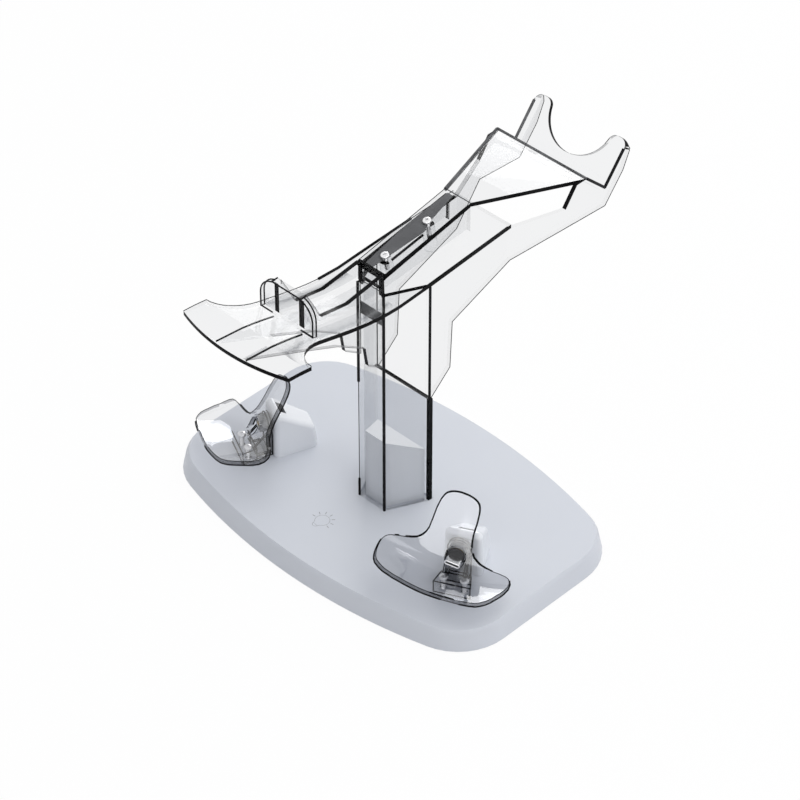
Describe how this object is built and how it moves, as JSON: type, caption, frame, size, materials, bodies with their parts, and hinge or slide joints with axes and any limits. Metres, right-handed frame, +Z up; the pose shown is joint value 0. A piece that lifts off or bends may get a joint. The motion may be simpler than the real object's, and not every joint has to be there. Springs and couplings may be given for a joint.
{
  "type": "controller charging dock",
  "caption": "White base with a clear folded headset stand and two clear curved controller rests, each with a magnetic charging contact.",
  "frame": {"origin": "centre of the base's outline, on the ground under the middle rubber foot", "axes": "+X to the right seen from the front, -Y to the front where the tray's flap is, +Z up"},
  "size_m": [0.228, 0.2633, 0.1921],
  "materials": {
    "cover_white": "satin",
    "block_white": "gloss",
    "clear_plastic": "polished",
    "dark_plastic": "satin",
    "feet_rubber": "matte",
    "weight_steel": "raw",
    "screw_steel": "plated",
    "shell_metal": "polished",
    "contact_gold": "plated",
    "key_copper": "plain",
    "board_green": "satin",
    "board_white": "satin",
    "led_yellow": "gloss"
  },
  "bodies": {
    "root": {"base_cover": "cover_white", "base_plate": "dark_plastic", "base_screws": "screw_steel", "rubber_feet": "feet_rubber", "weight_left": "weight_steel", "weight_right": "weight_steel", "circuit_board": "board_green", "board_screws": "screw_steel", "usb_inlet": "shell_metal", "touch_pad": "key_copper", "lamp_board": "board_white", "lamp_leds": "led_yellow", "stand_block": "block_white", "mounting_screws": "screw_steel", "stand_column": "clear_plastic", "headset_tray": "clear_plastic", "tray_screws": "screw_steel", "cradle_block_left": "block_white", "cradle_block_right": "block_white", "contact_body_left": "dark_plastic", "contact_body_right": "dark_plastic", "contact_magnet_left": "shell_metal", "contact_magnet_right": "shell_metal", "contact_pins_left": "contact_gold", "contact_pins_right": "contact_gold", "cradle_bracket_left": "clear_plastic", "cradle_bracket_right": "clear_plastic", "bracket_screws": "screw_steel", "cradle_rest_left": "clear_plastic", "cradle_rest_right": "clear_plastic", "adapter_face": "contact_gold", "adapter_flange": "dark_plastic", "adapter_plug": "shell_metal", "adapter_tongue": "dark_plastic"}
  },
  "joints": []
}
